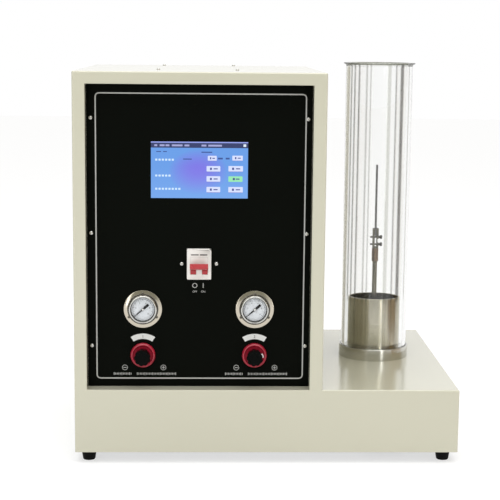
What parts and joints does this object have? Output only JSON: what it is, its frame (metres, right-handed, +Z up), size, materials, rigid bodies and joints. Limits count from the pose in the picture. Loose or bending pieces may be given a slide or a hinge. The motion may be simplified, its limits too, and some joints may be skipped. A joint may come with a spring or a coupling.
{
  "type": "oxygen index tester",
  "caption": "Bench oxygen index tester: a cabinet with touch screen, gauges and regulators, and a glass chimney over a gas cup with a specimen clamp.",
  "frame": {"origin": "on the floor under the feet, at the middle of the instrument's whole width and depth", "axes": "+Z up, +X to the right towards the glass chimney, +Y from the control panel to the rear"},
  "size_m": [0.6, 0.47, 0.6198],
  "materials": {
    "cabinet_paint": "warm off-white powder coat, satin",
    "panel_black": "matt black",
    "zinc_sheet": "plain zinc-plated sheet",
    "screw_steel": "plated steel, pan heads",
    "foot_rubber": "black rubber",
    "board_green": "glass-fibre board with parts",
    "nylon": "natural nylon",
    "case_black": "moulded black plastic",
    "screen": "lit touch screen, violet to blue",
    "breaker_white": "white moulded plastic",
    "toggle_red": "dark red plastic",
    "bright_steel": "turned and polished steel",
    "dial_white": "white printed dial",
    "needle_black": "black lacquered needle",
    "clear_glass": "clear glass",
    "ring_red": "red anodised ring",
    "knob_black": "black fluted plastic",
    "brass": "turned brass",
    "tube_poly": "translucent plastic tube",
    "turned_steel": "turned stainless steel, satin",
    "cup_steel": "brushed stainless steel",
    "beads": "bed of small glass beads",
    "mesh": "woven wire screen",
    "bronze": "bronze, dull",
    "specimen_grey": "grey plastic test bar",
    "seal_rubber": "rubber ring"
  },
  "bodies": {
    "cabinet": {"cabinet_shell": "cabinet_paint", "base_plate": "zinc_sheet", "rear_panel": "cabinet_paint", "front_panel": "panel_black", "panel_screws": "screw_steel", "cabinet_screws": "screw_steel", "feet": "foot_rubber", "foot_screws": "screw_steel", "control_tray": "zinc_sheet", "control_board": "board_green", "board_standoffs": "nylon", "display_body": "case_black", "display_glass": "screen", "display_clamps": "screw_steel", "breaker_body": "breaker_white", "breaker_bracket": "zinc_sheet", "gauge_screws": "screw_steel", "gauge_pipes": "brass", "gas_inlets": "brass", "inlet_nuts": "brass", "supply_tubes": "tube_poly", "flow_controllers": "turned_steel", "feed_tubes": "tube_poly", "mixing_manifold": "turned_steel", "oxygen_sensor": "case_black", "column_feed_tube": "tube_poly", "power_supply": "zinc_sheet", "power_inlet": "case_black", "fan_frame": "case_black", "column_base": "turned_steel", "column_screws": "screw_steel", "column_nipple": "brass", "column_seal": "seal_rubber", "mixing_cup": "cup_steel", "glass_beads": "beads", "wire_screen": "mesh", "oxygen_gauge_case": "bright_steel", "oxygen_gauge_dial": "dial_white", "oxygen_gauge_lens": "clear_glass", "oxygen_regulator_body": "turned_steel", "oxygen_regulator_ring": "ring_red", "nitrogen_gauge_case": "bright_steel", "nitrogen_gauge_dial": "dial_white", "nitrogen_gauge_lens": "clear_glass", "nitrogen_regulator_body": "turned_steel", "nitrogen_regulator_ring": "ring_red"},
    "breaker_toggle": {"breaker_toggle": "toggle_red"},
    "oxygen_knob": {"oxygen_knob": "knob_black"},
    "nitrogen_knob": {"nitrogen_knob": "knob_black"},
    "oxygen_needle": {"oxygen_gauge_needle": "needle_black"},
    "nitrogen_needle": {"nitrogen_gauge_needle": "needle_black"},
    "fan_rotor": {"fan_rotor": "case_black"},
    "glass_chimney": {"glass_tube": "clear_glass"},
    "specimen_holder": {"holder_tube": "turned_steel", "holder_socket": "bronze", "clamp_body": "bright_steel", "specimen": "specimen_grey"},
    "clamp_jaw": {"clamp_jaw": "bright_steel"},
    "upper_thumbscrew": {"upper_thumbscrew": "bright_steel"},
    "lower_thumbscrew": {"lower_thumbscrew": "bright_steel"}
  },
  "joints": [
    {"name": "breaker_toggle_hinge", "type": "hinge", "parent": "cabinet", "child": "breaker_toggle", "pos_m": [-0.108, -0.211, 0.3025], "axis": [1, 0, 0], "range_deg": [0, 56]},
    {"name": "fan_spin", "type": "hinge", "parent": "cabinet", "child": "fan_rotor", "pos_m": [-0.015, 0.201, 0.418], "axis": [0, 1, 0], "continuous": true},
    {"name": "chimney_lift", "type": "slide", "parent": "cabinet", "child": "glass_chimney", "axis": [0, 0, 1], "range_m": [0, 0.34]},
    {"name": "holder_lift", "type": "slide", "parent": "cabinet", "child": "specimen_holder", "axis": [0, 0, 1], "range_m": [0, 0.12]},
    {"name": "clamp_jaw_slide", "type": "slide", "parent": "specimen_holder", "child": "clamp_jaw", "axis": [1, 0, 0], "range_m": [0, 0.0025]},
    {"name": "upper_thumbscrew_turn", "type": "hinge", "parent": "clamp_jaw", "child": "upper_thumbscrew", "pos_m": [0.193, 0.015, 0.3249], "axis": [1, 0, 0], "range_deg": [0, 1800]},
    {"name": "lower_thumbscrew_turn", "type": "hinge", "parent": "clamp_jaw", "child": "lower_thumbscrew", "pos_m": [0.193, 0.015, 0.3125], "axis": [1, 0, 0], "range_deg": [0, 1800]},
    {"name": "oxygen_knob_turn", "type": "hinge", "parent": "cabinet", "child": "oxygen_knob", "pos_m": [-0.195, -0.225, 0.168], "axis": [0, 1, 0], "range_deg": [0, 1080]},
    {"name": "oxygen_needle_turn", "type": "hinge", "parent": "cabinet", "child": "oxygen_needle", "pos_m": [-0.195, -0.215, 0.241], "axis": [0, 1, 0], "range_deg": [0, 262]},
    {"name": "nitrogen_knob_turn", "type": "hinge", "parent": "cabinet", "child": "nitrogen_knob", "pos_m": [-0.021, -0.225, 0.168], "axis": [0, 1, 0], "range_deg": [0, 1080]},
    {"name": "nitrogen_needle_turn", "type": "hinge", "parent": "cabinet", "child": "nitrogen_needle", "pos_m": [-0.021, -0.215, 0.241], "axis": [0, 1, 0], "range_deg": [0, 262]}
  ],
  "couplings": [
    {"joint": "oxygen_needle_turn", "follows": "oxygen_knob_turn", "ratio": 0.2425},
    {"joint": "nitrogen_needle_turn", "follows": "nitrogen_knob_turn", "ratio": 0.2425},
    {"joint": "upper_thumbscrew_turn", "follows": "clamp_jaw_slide", "rad_per_m": 12566},
    {"joint": "lower_thumbscrew_turn", "follows": "clamp_jaw_slide", "rad_per_m": 12566}
  ]
}
